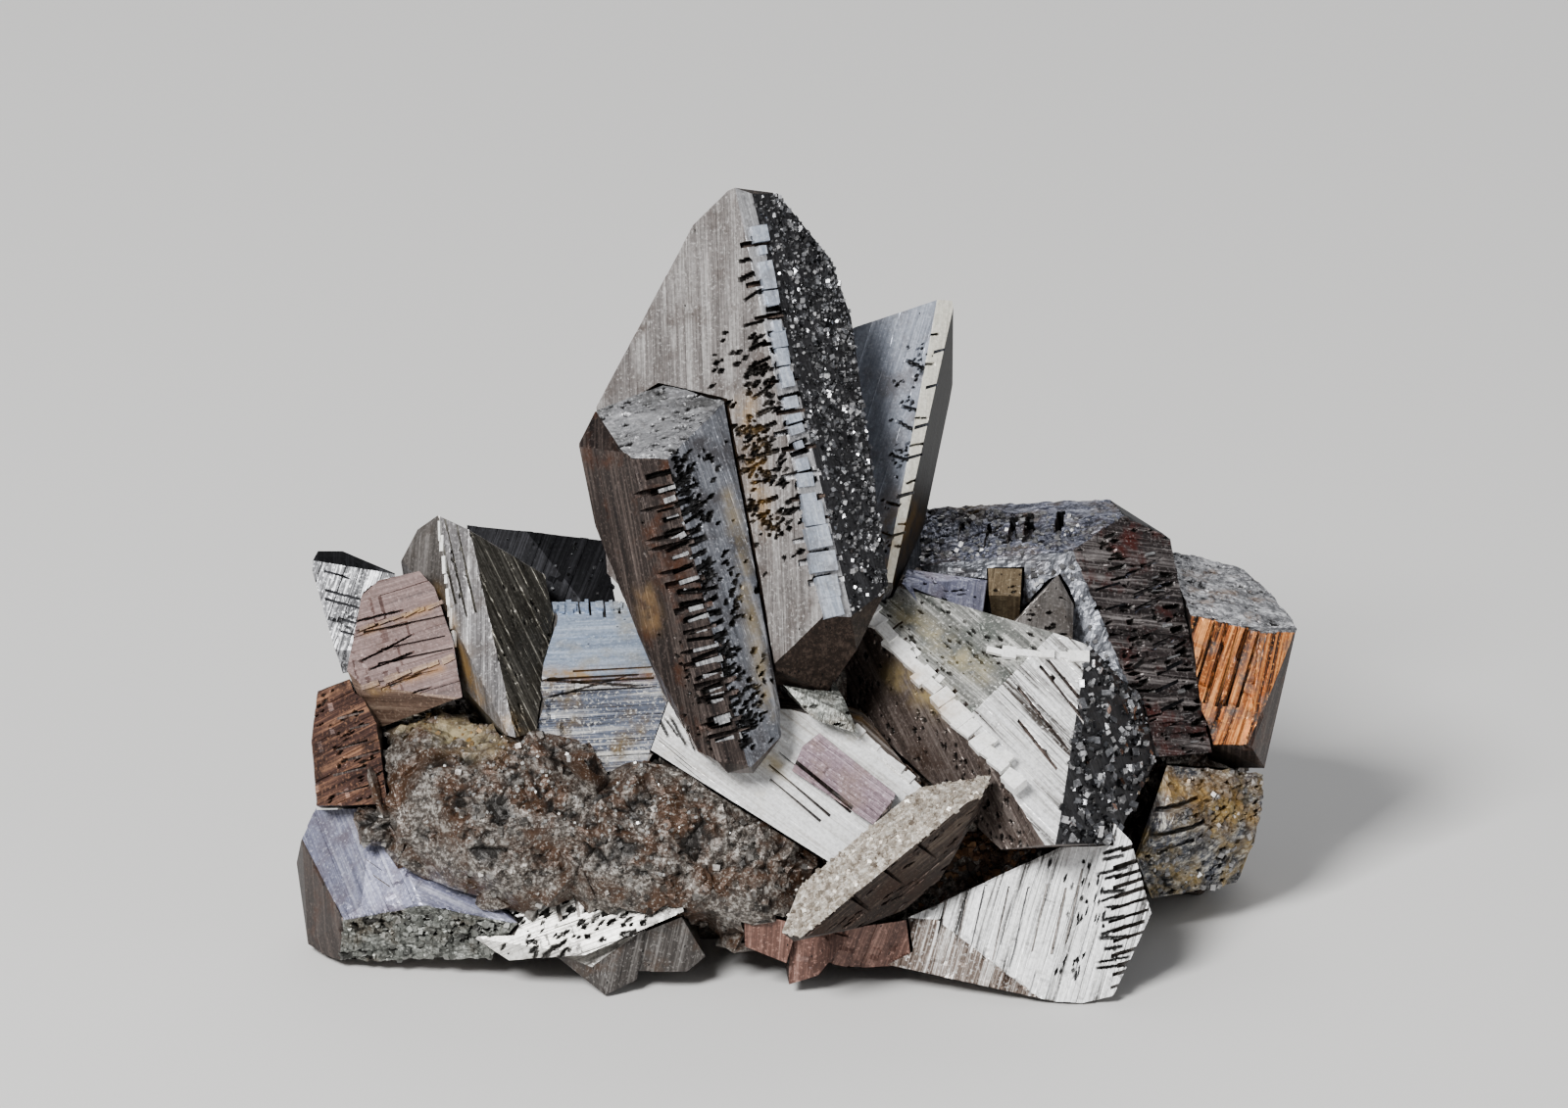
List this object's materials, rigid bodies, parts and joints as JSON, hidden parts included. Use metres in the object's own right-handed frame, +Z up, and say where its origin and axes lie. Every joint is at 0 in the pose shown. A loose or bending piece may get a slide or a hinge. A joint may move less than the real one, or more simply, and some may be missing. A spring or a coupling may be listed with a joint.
{
  "type": "arsenopyrite crystal cluster",
  "caption": "Mineral specimen: striated metallic arsenopyrite crystals grown together on a lump of rough ore, flat underneath so that it stands.",
  "frame": {"origin": "on the flat cut under the matrix, below the middle of the cluster's width", "axes": "+Z up, +X to the right along the cluster's width, -Y towards the front"},
  "size_m": [0.1024, 0.0609, 0.078],
  "materials": {
    "ore_crust": "rough granular crust, dull",
    "steel_grey": "striated, satin metallic",
    "dark_grey": "pitted, dull metallic",
    "blue_grey": "striated, satin metallic with a blue tarnish",
    "silver": "bright striated metallic",
    "brown": "tarnished, dull",
    "dusty_pink": "tarnished, satin",
    "russet": "iron-stained, dull",
    "lavender": "striated with a lavender tarnish",
    "copper_orange": "striped, iridescent copper tarnish",
    "black": "dark, dull metallic"
  },
  "bodies": {
    "root": {"matrix": "ore_crust", "front_prism": "dark_grey", "tall_crystal": "steel_grey", "right_blade": "blue_grey", "silver_tablet": "silver", "front_wedge": "brown", "striped_crystal": "silver", "foot_chip": "dark_grey", "left_wedge": "lavender", "pink_block": "dusty_pink", "far_left_crystal": "steel_grey", "russet_block": "russet", "blue_block": "blue_grey", "back_crystal": "black", "lavender_block": "lavender", "pale_blade": "silver", "lower_points_left": "dark_grey", "lower_points_right": "russet", "fan_crystal": "silver", "saddle_crystal": "lavender", "saddle_block": "brown", "saddle_wedge": "steel_grey", "pitted_block": "dark_grey", "orange_crystal": "copper_orange", "mottled_block": "blue_grey", "rear_prism": "steel_grey", "rear_blade": "blue_grey", "rear_tablet": "dusty_pink", "rear_block": "lavender"}
  },
  "joints": []
}
